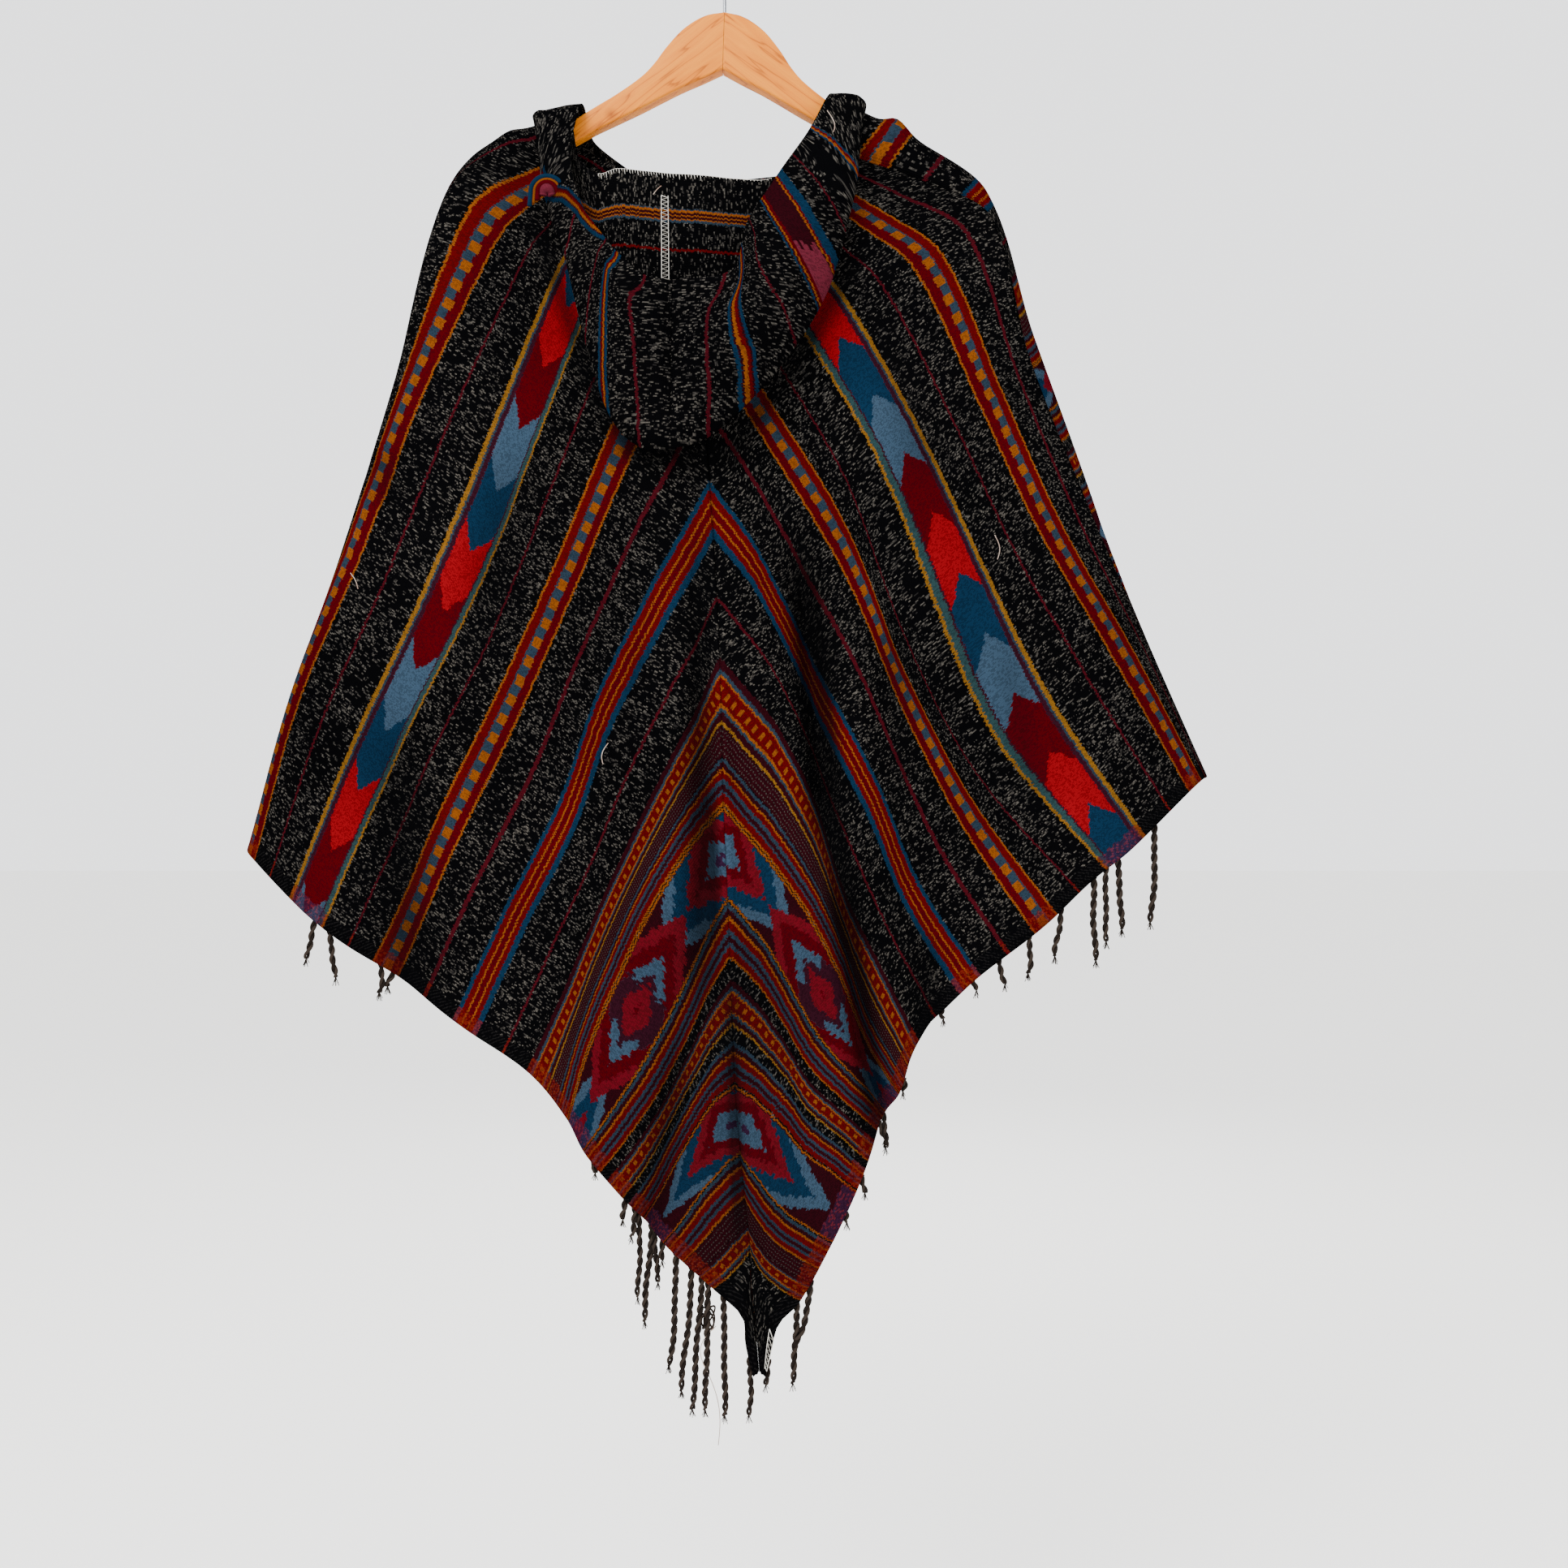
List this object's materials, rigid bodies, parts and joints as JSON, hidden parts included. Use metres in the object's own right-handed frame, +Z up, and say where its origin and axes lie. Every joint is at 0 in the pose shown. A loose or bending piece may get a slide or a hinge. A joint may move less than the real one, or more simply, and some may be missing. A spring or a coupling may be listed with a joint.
{
  "type": "hooded poncho on a wooden coat hanger",
  "caption": "Hooded blanket-weave poncho with a pointed hem, hood hanging down the back, on a plain wooden coat hanger with a metal hook.",
  "frame": {"origin": "inner top of the hook, where the rail carries the hanger", "axes": "+Z up, +Y towards the garment's front, +X to the right as the back of the garment is seen"},
  "size_m": [0.7948, 0.1048, 1.2363],
  "materials": {
    "poncho_cloth": "heathered woven cotton and acrylic with coloured stripes",
    "hood_cloth": "heathered woven cotton and acrylic with coloured stripes",
    "hanger_wood": "clear satin varnish over straight-grained wood",
    "hook_wire": "plated steel wire",
    "fringe_yarn": "twisted two-ply warp ends"
  },
  "bodies": {
    "root": {"back_left": "poncho_cloth", "back_right": "poncho_cloth", "front_left": "poncho_cloth", "front_right": "poncho_cloth", "hood_left": "hood_cloth", "hood_right": "hood_cloth", "hanger_arm_left": "hanger_wood", "hanger_arm_right": "hanger_wood", "hook": "hook_wire", "fringe_back_left": "fringe_yarn", "fringe_back_right": "fringe_yarn"}
  },
  "joints": []
}
